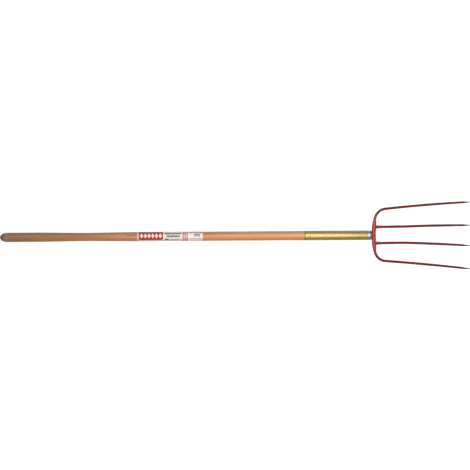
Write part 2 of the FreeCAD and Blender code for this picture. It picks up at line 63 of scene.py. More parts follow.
# Studio: a white floor under a white surround. The floor is as white in metal as it is to the
# eye, and the surround above it is dimmer there. Both give back little light to the tool.
def feed(tree, socket, source):
    """Links a socket to another node's output, or gives it a value."""
    if isinstance(source, bpy.types.NodeSocket):
        tree.links.new(source, socket)
    else:
        socket.default_value = source


def new_node(tree, kind, inputs=None, **settings):
    """A node with its options set, and each named or numbered socket fed."""
    node = tree.nodes.new(kind)
    for setting, choice in settings.items():
        setattr(node, setting, choice)
    for socket, source in (inputs or {}).items():
        feed(tree, node.inputs[socket], source)
    return node


def maths(tree, operation, *values):
    """The output of a Math node."""
    return new_node(tree, "ShaderNodeMath", dict(enumerate(values)), operation=operation).outputs[0]


def seen_and_mirrored(tree):
    """Camera rays, and glossy or transmission rays, apart from those that carry light round."""
    path = new_node(tree, "ShaderNodeLightPath").outputs
    mirrored = maths(tree, "MAXIMUM", path["Is Glossy Ray"], path["Is Transmission Ray"])
    return path["Is Camera Ray"], mirrored


FLOOR_SIZE = 30
FLOOR_GLOW = 0.93
FLOOR_SHOWN_GREY = (0.33, 0.33, 0.33, 1)
FLOOR_BOUNCE_GREY = (0.08, 0.08, 0.08, 1)
bpy.ops.mesh.primitive_plane_add(size=FLOOR_SIZE)
floor = bpy.context.object
floor.name = "floor"
floor_paper = bpy.data.materials.new("floor_paper")
floor_paper.use_nodes = True
tree = floor_paper.node_tree
tree.nodes.clear()
glow = new_node(tree, "ShaderNodeEmission", {"Strength": FLOOR_GLOW})
shown = new_node(tree, "ShaderNodeBsdfDiffuse", {"Color": FLOOR_SHOWN_GREY})
bounced = new_node(tree, "ShaderNodeBsdfDiffuse", {"Color": FLOOR_BOUNCE_GREY})
lit = new_node(tree, "ShaderNodeAddShader", {0: glow.outputs[0], 1: shown.outputs[0]})
shown_share = maths(tree, "MAXIMUM", *seen_and_mirrored(tree))
mixed = new_node(tree, "ShaderNodeMixShader", {0: shown_share, 1: bounced.outputs[0], 2: lit.outputs[0]})
new_node(tree, "ShaderNodeOutputMaterial", {"Surface": mixed.outputs[0]})
floor.data.materials.append(floor_paper)

SURROUND_WHITE = (1, 1, 1, 1)
SURROUND_SEEN = 0.95
SURROUND_MIRRORED = 0.33
SURROUND_LIGHT = 0.024
surround = bpy.data.worlds.new("surround")
surround.use_nodes = True
tree = surround.node_tree
tree.nodes.clear()
seen, mirrored = seen_and_mirrored(tree)
strength = maths(tree, "MAXIMUM", maths(tree, "MULTIPLY", mirrored, SURROUND_MIRRORED), SURROUND_LIGHT)
strength = maths(tree, "MAXIMUM", maths(tree, "MULTIPLY", seen, SURROUND_SEEN), strength)
sky = new_node(tree, "ShaderNodeBackground", {"Color": SURROUND_WHITE, "Strength": strength})
new_node(tree, "ShaderNodeOutputWorld", {"Surface": sky.outputs[0]})
bpy.context.scene.world = surround


# Lamp: one softbox over the front of the handle, close enough that both ends of the tool are
# dimmer, as they are in the photograph.
LAMP_PLACE = (0.15, 0.12, 0.95)
LAMP_LENGTH = 0.9
LAMP_WIDTH = 1.2
LAMP_POWER = 12.7
bpy.ops.object.light_add(type="AREA", location=LAMP_PLACE)
softbox = bpy.context.object
softbox.name = "softbox"
softbox.data.shape = "RECTANGLE"
softbox.data.size = LAMP_LENGTH
softbox.data.size_y = LAMP_WIDTH
softbox.data.energy = LAMP_POWER
softbox.visible_camera = False


# Handle: one ash pole, turned and sanded, with a domed butt, a waisted grip and a straight shank.
# Its front end is turned down to go inside the ferrule. The finish is a thin clear wax.
shank_grip = frame["record"]["mounts"][0]
GRIP_POINT = Vector(shank_grip["pos_m"])
TOOL_AXIS = -Vector(shank_grip["axis"])
BUTT = GRIP_POINT - TOOL_AXIS * (GRIP_POINT.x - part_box("handle")[0].x) / TOOL_AXIS.x
TOOL_LEAN = -math.asin(TOOL_AXIS.z)
TOOL = Matrix.Translation(BUTT) @ Matrix.Rotation(TOOL_LEAN, 4, "Y")
MERGE_DISTANCE = 1e-6
SMOOTH_ANGLE = math.radians(30)
SWELL_STEPS = 5


def start_piece(name, outline_point, sides, filled):
    """Adds the first ring of a piece, square to X, and starts to edit it."""
    along, radius = outline_point
    bpy.ops.object.select_all(action="DESELECT")
    bpy.ops.mesh.primitive_circle_add(
        vertices=sides,
        radius=radius,
        fill_type="NGON" if filled else "NOTHING",
        location=(along, 0, 0),
        rotation=(0, math.pi / 2, 0),
    )
    bpy.ops.object.transform_apply()
    piece = bpy.context.object
    piece.name = name
    bpy.ops.object.mode_set(mode="EDIT")
    bpy.ops.mesh.select_all(action="SELECT")
    return piece


def finish_piece(piece, place):
    """Cleans the mesh, faces it outwards, and puts it in its place with the object at the origin."""
    bpy.ops.mesh.select_all(action="SELECT")
    bpy.ops.mesh.remove_doubles(threshold=MERGE_DISTANCE)
    bpy.ops.mesh.normals_make_consistent()
    bpy.ops.object.mode_set(mode="OBJECT")
    piece.matrix_world = place
    bpy.ops.object.transform_apply()
    bpy.ops.object.shade_smooth_by_angle(angle=SMOOTH_ANGLE)


def turned_piece(name, outline, sides, filled=True, place=TOOL):
    """A piece as from a lathe: a ring extruded and scaled from point to point of (along, radius)."""
    piece = start_piece(name, outline[0], sides, filled)
    for (along, radius), (next_along, next_radius) in zip(outline, outline[1:]):
        bpy.ops.mesh.extrude_region_move(TRANSFORM_OT_translate={"value": (next_along - along, 0, 0)})
        growth = next_radius / radius
        bpy.ops.transform.resize(value=(1, growth, growth), center_override=(next_along, 0, 0))
    finish_piece(piece, place)
    return piece


def arc(centre, radius, begin, end, steps):
    """Points of an outline round a centre, from one angle to another, in degrees."""
    angles = [math.radians(begin + (end - begin) * step / steps) for step in range(steps + 1)]
    return [(centre[0] + radius * math.cos(a), centre[1] + radius * math.sin(a)) for a in angles]


def swell(begin, end, begin_blend, end_blend):
    """Points from one level stretch of the handle to the next: two large blends and a taper."""
    run, rise = end[0] - begin[0], end[1] - begin[1]
    blends = begin_blend + end_blend
    slope = (run - math.sqrt(run**2 - 2 * blends * abs(rise))) / blends
    side = math.copysign(1, rise)
    points = []
    for step in range(1, SWELL_STEPS + 1):
        reach = begin_blend * slope * step / SWELL_STEPS
        points.append((begin[0] + reach, begin[1] + side * reach**2 / (2 * begin_blend)))
    for step in range(SWELL_STEPS, -1, -1):
        reach = end_blend * slope * step / SWELL_STEPS
        points.append((end[0] - reach, end[1] - side * reach**2 / (2 * end_blend)))
    return points


# Lengths are in metres along the handle from its butt, and out from its middle line
HANDLE_LENGTH = 1.1
SHANK_RADIUS = 0.014
BUTT_RADIUS = 0.0142
NOSE_RADIUS = 0.0105
NOSE_STEPS = 12
DOME_LENGTH = 0.021
DOME_STEPS = 8
GRIP_END = 0.108
WAIST = (0.258, 0.0125)
SHANK_START = 0.408
GRIP_BLEND = 1.5
WAIST_BLEND = 1.8
FERRULE_BACK = 0.914
SPIGOT_RADIUS = 0.01305
CENTRE_MARK_RADIUS = 0.0013
CENTRE_MARK_BOTTOM = CENTRE_MARK_RADIUS / 4
CENTRE_MARK_DEPTH = 0.0012
LATHE_SIDES = 96
dome_side = (DOME_LENGTH - NOSE_RADIUS) ** 2 + BUTT_RADIUS**2 - NOSE_RADIUS**2
dome_side /= 2 * (BUTT_RADIUS - NOSE_RADIUS)
dome_lean = math.degrees(math.atan2(dome_side - BUTT_RADIUS, NOSE_RADIUS - DOME_LENGTH))
mark_edge = 180 - math.degrees(math.asin(CENTRE_MARK_RADIUS / NOSE_RADIUS))
handle = turned_piece(
    "turned_handle",
    [
        (CENTRE_MARK_DEPTH, CENTRE_MARK_BOTTOM),
        *arc((NOSE_RADIUS, 0), NOSE_RADIUS, mark_edge, dome_lean, NOSE_STEPS),
        *arc((DOME_LENGTH, BUTT_RADIUS - dome_side), dome_side, dome_lean, 90, DOME_STEPS)[1:],
        (GRIP_END, BUTT_RADIUS),
        *swell((GRIP_END, BUTT_RADIUS), WAIST, GRIP_BLEND, WAIST_BLEND),
        *swell(WAIST, (SHANK_START, SHANK_RADIUS), WAIST_BLEND, GRIP_BLEND),
        (FERRULE_BACK, SHANK_RADIUS),
        (FERRULE_BACK, SPIGOT_RADIUS),
        (HANDLE_LENGTH, SPIGOT_RADIUS),
    ],
    LATHE_SIDES,
)


def colour(red, green, blue):
    """A colour socket's value from a picture's 8-bit numbers, by the sRGB curve."""
    shares = [channel / 255 for channel in (red, green, blue)]
    return (*[s / 12.92 if s <= 0.04045 else ((s + 0.055) / 1.055) ** 2.4 for s in shares], 1)


def new_material(name, **sockets):
    """A material with one Principled shader, and the values of its sockets that don't vary."""
    material = bpy.data.materials.new(name)
    material.use_nodes = True
    tree = material.node_tree
    shader = tree.nodes["Principled BSDF"]
    for socket, number in sockets.items():
        shader.inputs[socket.replace("_", " ").title().replace("Ior", "IOR")].default_value = number
    return material, tree, shader


def object_place(tree):
    """The place on the piece, in metres of the tool's own frame."""
    return new_node(tree, "ShaderNodeTexCoord").outputs["Object"]


def split(tree, place):
    """The X, Y and Z of a place."""
    return new_node(tree, "ShaderNodeSeparateXYZ", {0: place}).outputs


def noise(tree, place, scale, detail=2.0, distortion=0.0):
    """A noise value at its own scale along and across the tool, in cells per metre."""
    stretched = new_node(tree, "ShaderNodeMapping", {"Vector": place, "Scale": scale}).outputs[0]
    return new_node(
        tree,
        "ShaderNodeTexNoise",
        {"Vector": stretched, "Scale": 1.0, "Detail": detail, "Distortion": distortion},
    ).outputs["Fac"]


def spread(tree, value, low, high, new_low=0.0, new_high=1.0):
    """Takes one range of a value to another, clamped, with soft ends."""
    return new_node(
        tree,
        "ShaderNodeMapRange",
        {0: value, 1: low, 2: high, 3: new_low, 4: new_high},
        interpolation_type="SMOOTHSTEP",
    ).outputs[0]


def blended(tree, share, first, second, blend_type="MIX"):
    """One colour over another by a share. Sockets 6, 7 and 2 are a Mix node's colours."""
    return new_node(
        tree,
        "ShaderNodeMix",
        {0: share, 6: first, 7: second},
        data_type="RGBA",
        blend_type=blend_type,
        clamp_result=True,
    ).outputs[2]


def bump(tree, shader, height, distance, strength=1.0):
    """Relief of the given depth in metres."""
    relief = new_node(
        tree, "ShaderNodeBump", {"Height": height, "Distance": distance, "Strength": strength}
    )
    tree.links.new(relief.outputs[0], shader.inputs["Normal"])


LATE_WOOD = colour(222, 158, 113)
EARLY_WOOD = colour(216, 184, 168)
PALE_STREAK = colour(66, 62, 50)
DARK_STREAK = colour(224, 208, 200)
PORE_BROWN = colour(142, 84, 50)
WOOD_WARMTH = colour(231, 156, 115)
HANDLED_WOOD = colour(216, 166, 122)
END_GREY = colour(228, 200, 170)
WAX_TINT = colour(255, 204, 158)
WAX_SHEEN = 0.6
WAX_ROUGHNESS = (0.28, 0.38)
waxed_ash, tree, shader = new_material(
    "waxed_ash", specular_ior_level=WAX_SHEEN, specular_tint=WAX_TINT
)
place = object_place(tree)
along_x = split(tree, place)["X"]

# Growth rings round the pith of the tree, which lay outside the pole: each begins with open
# early wood and ends in close late wood. At a scale of 1 the waves are tau / 20 metres apart.
RING_SPACING = 0.0026
WAVE_UNIT = math.tau / 20
RING_WAVER = 5.0
RING_WAVER_DETAIL = 2.0
RING_WAVER_SCALE = 0.22
RING_WAVER_ROUGHNESS = 0.45
PITH = (0.0, 0.021, 0.058)
PITH_STRETCH = (0.05, 1, 1)
EARLY_WOOD_START = (0.93, 1.0)
EARLY_WOOD_END = (0.0, 0.42)
from_pith = new_node(
    tree, "ShaderNodeMapping", {"Vector": place, "Location": PITH, "Scale": PITH_STRETCH}
).outputs[0]
rings = new_node(
    tree,
    "ShaderNodeTexWave",
    {
        "Vector": from_pith,
        "Scale": WAVE_UNIT / RING_SPACING,
        "Distortion": RING_WAVER,
        "Detail": RING_WAVER_DETAIL,
        "Detail Scale": RING_WAVER_SCALE,
        "Detail Roughness": RING_WAVER_ROUGHNESS,
    },
    wave_type="RINGS",
    rings_direction="X",
    wave_profile="SAW",
).outputs["Fac"]
early_start = spread(tree, rings, *EARLY_WOOD_START)
early_end = spread(tree, rings, *EARLY_WOOD_END, 1, 0)
early = maths(tree, "MAXIMUM", early_end, early_start)

# Fibres, pores and slow changes of colour, all drawn out along the pole
FIBRE_SCALE = (9, 700, 700)
FIBRE_LIMITS = (0.35, 0.75)
FIBRE_GLOSS_LIMITS = (0.3, 0.7)
FIBRE_SHARE = 0.3
FIBRE_RELIEF = 0.4
PORE_SCALE = (70, 2600, 2600)
PORE_LIMITS = (0.6, 0.72)
PORE_SHARE = 0.55
WARMTH_SCALE = (2.2, 30, 30)
WARMTH_LIMITS = (0.4, 0.7)
WARMTH_SHARE = 0.4
STREAK_SCALE = (5, 210, 210)
PALE_LIMITS = (0.5, 0.66)
DARK_LIMITS = (0.34, 0.5)
STREAK_SHARE = 0.5
EARLY_SHARE = 0.5
GRAIN_DEPTH = 0.00006
fibre = noise(tree, place, FIBRE_SCALE, detail=4)
pores = spread(tree, noise(tree, place, PORE_SCALE, detail=1), *PORE_LIMITS)
pore_mask = maths(tree, "MULTIPLY", pores, early)
warmth = spread(tree, noise(tree, place, WARMTH_SCALE), *WARMTH_LIMITS, 0, WARMTH_SHARE)
streaks = noise(tree, place, STREAK_SCALE, detail=3)
pale = spread(tree, streaks, *PALE_LIMITS, 0, STREAK_SHARE)
dark = spread(tree, streaks, *DARK_LIMITS, STREAK_SHARE, 0)

# Hands have dulled the grip, and the end grain of the butt has greyed
HANDLED_START = 0.02
HANDLED_REACH = 0.36
HANDLED_SHARE = 0.75
END_GREY_START = 0.002
END_GREY_REACH = 0.034
END_GREY_SHARE = 0.9
END_PORE_SCALE = (900, 1500, 1500)
END_PORE_LIMITS = (0.54, 0.7)
END_PORE_SHARE = 0.5
handled = spread(tree, along_x, BUTT.x + HANDLED_START, BUTT.x + HANDLED_REACH, HANDLED_SHARE, 0)
at_end = spread(tree, along_x, BUTT.x + END_GREY_START, BUTT.x + END_GREY_REACH, 1, 0)
end_pores = noise(tree, place, END_PORE_SCALE, detail=1)
end_pores = spread(tree, end_pores, *END_PORE_LIMITS, 0, END_PORE_SHARE)

wood = blended(tree, warmth, LATE_WOOD, WOOD_WARMTH)
wood = blended(tree, handled, wood, HANDLED_WOOD)
wood = blended(tree, maths(tree, "MULTIPLY", at_end, END_GREY_SHARE), wood, END_GREY)
wood = blended(tree, maths(tree, "MULTIPLY", early, EARLY_SHARE), wood, EARLY_WOOD, "MULTIPLY")
wood = blended(tree, spread(tree, fibre, *FIBRE_LIMITS, 0, FIBRE_SHARE), wood, EARLY_WOOD, "MULTIPLY")
wood = blended(tree, pale, wood, PALE_STREAK, "SCREEN")
wood = blended(tree, dark, wood, DARK_STREAK, "MULTIPLY")
wood = blended(tree, maths(tree, "MULTIPLY", pore_mask, PORE_SHARE), wood, PORE_BROWN)
wood = blended(tree, maths(tree, "MULTIPLY", end_pores, at_end), wood, PORE_BROWN)
tree.links.new(wood, shader.inputs["Base Color"])
wax_roughness = spread(tree, fibre, *FIBRE_GLOSS_LIMITS, *WAX_ROUGHNESS)
tree.links.new(wax_roughness, shader.inputs["Roughness"])
grain_height = maths(tree, "SUBTRACT", maths(tree, "MULTIPLY", fibre, FIBRE_RELIEF), pore_mask)
bump(tree, shader, grain_height, GRAIN_DEPTH)
handle.data.materials.append(waxed_ash)
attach(handle, "root")
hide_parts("handle")


# Ferrule: a long thin steel tube, drawn, zinc plated and passivated yellow. It is pushed over
# the turned-down end of the handle, and a groove is rolled in by its back edge to grip the wood.
FERRULE_FRONT = 1.104
FERRULE_RADIUS = 0.0143
FERRULE_WALL = 0.0012
FERRULE_EDGE = 0.0004
FERRULE_EDGE_STEPS = 4
GROOVE_PLACE = 0.0024
GROOVE_HALF = 0.0013
GROOVE_DEPTH = 0.00045
GROOVE_STEPS = 6
ferrule_inside = FERRULE_RADIUS - FERRULE_WALL
ferrule_shoulder = FERRULE_RADIUS - FERRULE_EDGE
back_edge = (FERRULE_BACK + FERRULE_EDGE, ferrule_shoulder)
front_edge = (FERRULE_FRONT - FERRULE_EDGE, ferrule_shoulder)
groove = []
for step in range(-GROOVE_STEPS, GROOVE_STEPS + 1):
    depth = GROOVE_DEPTH * (1 + math.cos(math.pi * step / GROOVE_STEPS)) / 2
    along = FERRULE_BACK + GROOVE_PLACE + GROOVE_HALF * step / GROOVE_STEPS
    groove.append((along, FERRULE_RADIUS - depth))
ferrule = turned_piece(
    "ferrule_tube",
    [
        (FERRULE_BACK, ferrule_inside),
        *arc(back_edge, FERRULE_EDGE, 180, 90, FERRULE_EDGE_STEPS),
        *groove,
        *arc(front_edge, FERRULE_EDGE, 90, 0, FERRULE_EDGE_STEPS),
        (FERRULE_FRONT, ferrule_inside),
        (FERRULE_BACK, ferrule_inside),
    ],
    LATHE_SIDES,
    filled=False,
)


def new_group(name, inputs, outputs):
    """A shader node group with float or vector sockets, and its in and out nodes."""
    group = bpy.data.node_groups.new(name, "ShaderNodeTree")
    for label, kind in inputs.items():
        group.interface.new_socket(label, in_out="INPUT", socket_type="NodeSocket" + kind)
    for label, kind in outputs.items():
        group.interface.new_socket(label, in_out="OUTPUT", socket_type="NodeSocket" + kind)
    return group, group.nodes.new("NodeGroupInput").outputs, group.nodes.new("NodeGroupOutput").inputs


def use_group(tree, group, inputs):
    """Places a group in a material with that material's own values."""
    return new_node(tree, "ShaderNodeGroup", inputs, node_tree=group).outputs


# A drawn or ground surface has fine lines one way and a few longer scratches
FINE_LINE_LIMITS = (0.3, 0.7)
SCRATCH_SCALE = 0.3
SCRATCH_LIMITS = (0.66, 0.74)
drawn_lines, given, made = new_group(
    "drawn_lines", {"Place": "Vector", "Stretch": "Vector"}, {"Lines": "Float", "Scratches": "Float"}
)
fine_place = new_node(
    drawn_lines, "ShaderNodeVectorMath", {0: given["Place"], 1: given["Stretch"]}, operation="MULTIPLY"
).outputs[0]
fine = new_node(
    drawn_lines, "ShaderNodeTexNoise", {"Vector": fine_place, "Scale": 1.0, "Detail": 3.0}
).outputs["Fac"]
coarse = new_node(
    drawn_lines, "ShaderNodeTexNoise", {"Vector": fine_place, "Scale": SCRATCH_SCALE, "Detail": 1.0}
).outputs["Fac"]
drawn_lines.links.new(spread(drawn_lines, fine, *FINE_LINE_LIMITS), made["Lines"])
drawn_lines.links.new(spread(drawn_lines, coarse, *SCRATCH_LIMITS), made["Scratches"])

# Handling leaves dull clouds on bare and plated metal
DULL_LIMITS = (0.45, 0.72)
handling, given, made = new_group(
    "handling", {"Place": "Vector", "Cloud Scale": "Float"}, {"Dull": "Float"}
)
clouds = new_node(
    handling,
    "ShaderNodeTexNoise",
    {"Vector": given["Place"], "Scale": given["Cloud Scale"], "Detail": 5.0, "Distortion": 0.6},
).outputs["Fac"]
handling.links.new(spread(handling, clouds, *DULL_LIMITS), made["Dull"])

PASSIVATED_GOLD = colour(180, 156, 102)
PASSIVATED_OLIVE = colour(173, 151, 97)
PASSIVATED_AMBER = colour(184, 142, 90)
# The next colour is painted shade, laid in the groove by the back edge
GROOVE_SHADE = colour(96, 78, 50)
BARE_ZINC = colour(186, 176, 150)
DARK_RIM = colour(40, 34, 22)
DRAWN_STRETCH = (5, 1500, 1500)
DRAWN_DEPTH = 0.000005
FERRULE_CLOUDS = 38.0
TINT_SCALE = (14, 90, 90)
GOLD_LIMITS = (0.35, 0.6)
AMBER_LIMITS = (0.55, 0.8)
AMBER_SHARE = 0.5
SCRATCH_SHARE = 0.35
GROOVE_SHADE_RISE = 0.0014
GROOVE_SHADE_SHARES = (0.05, 0.3)
GROOVE_SHADE_FADE = (0.003, 0.0044)
FERRULE_ROUGHNESS = (0.42, 0.5)
FERRULE_DULLING = 0.025
yellow_zinc, tree, shader = new_material("yellow_zinc", metallic=1.0, specular_tint=DARK_RIM)
place = object_place(tree)
lines = use_group(tree, drawn_lines, {"Place": place, "Stretch": DRAWN_STRETCH})
dull = use_group(tree, handling, {"Place": place, "Cloud Scale": FERRULE_CLOUDS})["Dull"]
tint = noise(tree, place, TINT_SCALE, distortion=0.8)
gold = blended(tree, spread(tree, tint, *GOLD_LIMITS), PASSIVATED_OLIVE, PASSIVATED_GOLD)
gold = blended(tree, spread(tree, tint, *AMBER_LIMITS, 0, AMBER_SHARE), gold, PASSIVATED_AMBER)
gold = blended(tree, maths(tree, "MULTIPLY", lines["Scratches"], SCRATCH_SHARE), gold, BARE_ZINC)
ferrule_x = split(tree, place)["X"]
back_x = BUTT.x + FERRULE_BACK
# Painted shade: the plated colour is darkened in a band over the rolled groove by the back edge
groove_shade_rise = spread(tree, ferrule_x, back_x, back_x + GROOVE_SHADE_RISE, *GROOVE_SHADE_SHARES)
groove_shade_fade = spread(tree, ferrule_x, back_x + GROOVE_SHADE_FADE[0], back_x + GROOVE_SHADE_FADE[1], 1, 0)
gold = blended(tree, maths(tree, "MULTIPLY", groove_shade_rise, groove_shade_fade), gold, GROOVE_SHADE)
tree.links.new(gold, shader.inputs["Base Color"])
roughness = spread(tree, lines["Lines"], 0, 1, *FERRULE_ROUGHNESS)
roughness = maths(tree, "MULTIPLY_ADD", dull, FERRULE_DULLING, roughness)
tree.links.new(roughness, shader.inputs["Roughness"])
bump(tree, shader, maths(tree, "SUBTRACT", lines["Lines"], lines["Scratches"]), DRAWN_DEPTH)
ferrule.data.materials.append(yellow_zinc)
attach(ferrule, "root")
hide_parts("ferrule")


# Nail: a short round wire nail through the ferrule's upper wall, which keeps the ferrule from
# turning or sliding off. Its low domed head is bare steel, dulled by the hammer.
NAIL_PLACE = 0.93
NAIL_RADIUS = 0.0013
NAIL_TIP = 0.0035
NAIL_POINT = 0.0025
NAIL_POINT_RADIUS = 0.0003
NAIL_HEAD_RADIUS = 0.0027
NAIL_HEAD_HEIGHT = 0.0009
NAIL_RIM = 0.00035
NAIL_DOME_STEPS = 6
NAIL_SIDES = 40
NAIL_UPRIGHT = TOOL @ Matrix.Translation((NAIL_PLACE, 0, 0)) @ Matrix.Rotation(-math.pi / 2, 4, "Y")
# The last ring of a closed end is small, and filled with one flat face
MIDDLE_SHARE = 1 / 8
dome_rise = NAIL_HEAD_HEIGHT - NAIL_RIM
dome_radius = (NAIL_HEAD_RADIUS**2 + dome_rise**2) / (2 * dome_rise)
dome_centre = (FERRULE_RADIUS + NAIL_HEAD_HEIGHT - dome_radius, 0)
dome_turn = math.degrees(math.asin(NAIL_HEAD_RADIUS / dome_radius))
nail = turned_piece(
    "ferrule_nail_head",
    [
        (NAIL_TIP, NAIL_POINT_RADIUS),
        (NAIL_TIP + NAIL_POINT, NAIL_RADIUS),
        (FERRULE_RADIUS, NAIL_RADIUS),
        (FERRULE_RADIUS, NAIL_HEAD_RADIUS),
        *arc(dome_centre, dome_radius, dome_turn, dome_turn * MIDDLE_SHARE, NAIL_DOME_STEPS),
    ],
    NAIL_SIDES,
    place=NAIL_UPRIGHT,
)
DULL_STEEL = colour(176, 152, 110)
RUST_BROWN = colour(128, 96, 62)
NAIL_CLOUDS = 420.0
NAIL_ROUGHNESS = (0.38, 0.62)
PITTING_SCALE = (900, 900, 900)
PITTING_DEPTH = 0.00012
nail_steel, tree, shader = new_material("nail_steel", metallic=1.0)
place = object_place(tree)
stain = use_group(tree, handling, {"Place": place, "Cloud Scale": NAIL_CLOUDS})["Dull"]
tree.links.new(blended(tree, stain, DULL_STEEL, RUST_BROWN), shader.inputs["Base Color"])
tree.links.new(spread(tree, stain, 0, 1, *NAIL_ROUGHNESS), shader.inputs["Roughness"])
bump(tree, shader, noise(tree, place, PITTING_SCALE), PITTING_DEPTH)
nail.data.materials.append(nail_steel)
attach(nail, "root")
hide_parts("ferrule_nail")


# Cap: a turned steel plug in the ferrule's mouth, bright zinc plated, with a full round on its
# collar. The tang of the head goes through the square hole behind the neck.
CAP_FRONT = 1.1158
CAP_RADIUS = 0.0142
CAP_ROUND = 0.0045
CAP_ROUND_STEPS = 10
CAP_PLUG_RADIUS = 0.01305
CAP_BACK_EDGE = 0.0003
CAP_BACK_EDGE_STEPS = 3
edge_centre = (FERRULE_FRONT + CAP_BACK_EDGE, CAP_RADIUS - CAP_BACK_EDGE)
round_centre = (CAP_FRONT - CAP_ROUND, CAP_RADIUS - CAP_ROUND)
cap = turned_piece(
    "ferrule_cap_collar",
    [
        (HANDLE_LENGTH, CAP_PLUG_RADIUS * MIDDLE_SHARE),
        (HANDLE_LENGTH, CAP_PLUG_RADIUS),
        (FERRULE_FRONT, CAP_PLUG_RADIUS),
        *arc(edge_centre, CAP_BACK_EDGE, 180, 90, CAP_BACK_EDGE_STEPS),
        *arc(round_centre, CAP_ROUND, 90, 0, CAP_ROUND_STEPS),
        (CAP_FRONT, CAP_ROUND * MIDDLE_SHARE),
    ],
    LATHE_SIDES,
)
BRIGHT_ZINC = colour(157, 163, 155)
WORN_ZINC = colour(118, 119, 114)
DARK_ZINC_RIM = colour(70, 64, 62)
TURNED_STRETCH = (2600, 60, 60)
TURNED_DEPTH = 0.000012
CAP_CLOUDS = 150.0
CAP_SCRATCH_SHARE = 0.4
CAP_ROUGHNESS = (0.38, 0.46)
CAP_DULLING = 0.1
zinc_plate, tree, shader = new_material("zinc_plate", metallic=1.0, specular_tint=DARK_ZINC_RIM)
place = object_place(tree)
lines = use_group(tree, drawn_lines, {"Place": place, "Stretch": TURNED_STRETCH})
dull = use_group(tree, handling, {"Place": place, "Cloud Scale": CAP_CLOUDS})["Dull"]
zinc = blended(tree, dull, BRIGHT_ZINC, WORN_ZINC)
zinc = blended(tree, maths(tree, "MULTIPLY", lines["Scratches"], CAP_SCRATCH_SHARE), zinc, WORN_ZINC)
tree.links.new(zinc, shader.inputs["Base Color"])
roughness = spread(tree, lines["Lines"], 0, 1, *CAP_ROUGHNESS)
roughness = maths(tree, "MULTIPLY_ADD", dull, CAP_DULLING, roughness)
tree.links.new(roughness, shader.inputs["Roughness"])
bump(tree, shader, lines["Lines"], TURNED_DEPTH)
cap.data.materials.append(zinc_plate)
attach(cap, "root")
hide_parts("ferrule_cap")


# Fork head: one forging of bowed cross bar, four dished tines and short round neck, dipped in
# glossy red paint. The points are ground afterwards, so they are bare steel.
HEAD_SLOPE = math.radians(11)
BAR_PLACE = 1.12235
BAR_DROP = 0.003
HEAD = TOOL @ Matrix.Translation((BAR_PLACE, 0, -BAR_DROP)) @ Matrix.Rotation(HEAD_SLOPE, 4, "Y")
FORGED_SIDES = 24
BAR_DEPTH_SHARE = 1.25
BAR_BOW = 0.355
BAR_HALF_SPAN = 0.0475
BAR_WIDTH = 0.0131
BAR_ROOT_WIDTH = 0.0138
BAR_END_WIDTH = 0.0091
BAR_STEPS = 14
CORNER_RADIUS = 0.036
CORNER_STEPS = 18
OUTER_SPLAY = math.radians(5.2)
DISH_RADIUS = 0.36
TINE_REACH = 0.274
TINE_WIDTH = 0.0078
TINE_MIDDLE = 0.6
TINE_MIDDLE_WIDTH = 0.0075
TINE_END_WIDTH = 0.0064
TINE_DEPTH_SHARE = 0.99
TINE_STEPS = 30
ROOT_HALF = 0.0244
ROOT_WIDTH = 0.0125
ROOT_STEPS = 16
FLARE_PLACE = 0.096
FLARE = math.radians(2)
FLARE_STEPS = 8
POINT_LENGTH = 0.024
POINT_END_WIDTH = 0.0016
POINT_STEPS = 14
# The bar bends to the right of its run, so about an axis that points down
DOWNWARD = (0, 0, -1)
# Places along a stretch, each with its share of the change of width
BAR_NARROWING = ((0.3, 0.18), (0.6, 0.52), (1, 1))
ROOT_SWELLING = ((0, 1), (0.2, 0.66), (0.36, 0.38), (0.6, 0.15), (1, 0))
POINT_TAPER = ((0, 1), (0.35, 0.76), (0.7, 0.42), (0.93, 0.18), (1, 0))


def selected_middle(piece):
    """The middle of the ring that is being forged."""
    points = [vertex.co for vertex in bmesh.from_edit_mesh(piece.data).verts if vertex.select]
    return sum(points, Vector()) / len(points)


def start_bar(name, width, depth_share):
    """The first section of a forged bar: an oval, and its depth as a share of its width."""
    piece = start_piece(name, (0, width / 2), FORGED_SIDES, True)
    bpy.ops.transform.resize(value=(1, 1, depth_share), center_override=(0, 0, 0))
    return piece


def draw_out(piece, run, widths):
    """Lengthens a forged bar straight on, and scales each new end to its width."""
    step_run = run / (len(widths) - 1)
    for width, next_width in zip(widths, widths[1:]):
        bpy.ops.mesh.extrude_region_move(TRANSFORM_OT_translate={"value": (step_run, 0, 0)})
        growth = next_width / width
        bpy.ops.transform.resize(value=(growth,) * 3, center_override=selected_middle(piece))


def bend_out(piece, centre, axis, turn, widths, flattening=1):
    """Lengthens a forged bar round a bend, and scales each new end to its width."""
    # Spin turns left-handed about its axis, so the angle is negative
    step_turn = turn / (len(widths) - 1)
    for width, next_width in zip(widths, widths[1:]):
        bpy.ops.mesh.spin(steps=1, angle=-step_turn, center=centre, axis=axis)
        growth = next_width / width
        scale = (growth, growth, growth * flattening)
        bpy.ops.transform.resize(value=scale, center_override=selected_middle(piece))


def between(shares, none_width, full_width):
    """The (place, width) stations of a stretch, from its (place, share) pairs."""
    return [(place, none_width + (full_width - none_width) * share) for place, share in shares]


def level(stations, place):
    """The width at a place along (place, width) stations, straight between them."""
    for (low, low_width), (high, high_width) in zip(stations, stations[1:]):
        if place <= high:
            return low_width + (high_width - low_width) * (place - low) / (high - low)
    return stations[-1][1]


def stepped(stations, steps):
    """The widths at even steps along the stations."""
    return [level(stations, step / steps) for step in range(steps + 1)]


def dish(piece, begin, end, heading, widths):
    """Curves a tine up along its hollow, from one slope to the next."""
    lean = -math.sin(begin)
    inwards = Vector((lean * math.cos(heading), lean * math.sin(heading), math.cos(begin)))
    centre = selected_middle(piece) + DISH_RADIUS * inwards
    axis = (math.sin(heading), -math.cos(heading), 0)
    bend_out(piece, centre, axis, end - begin, widths)


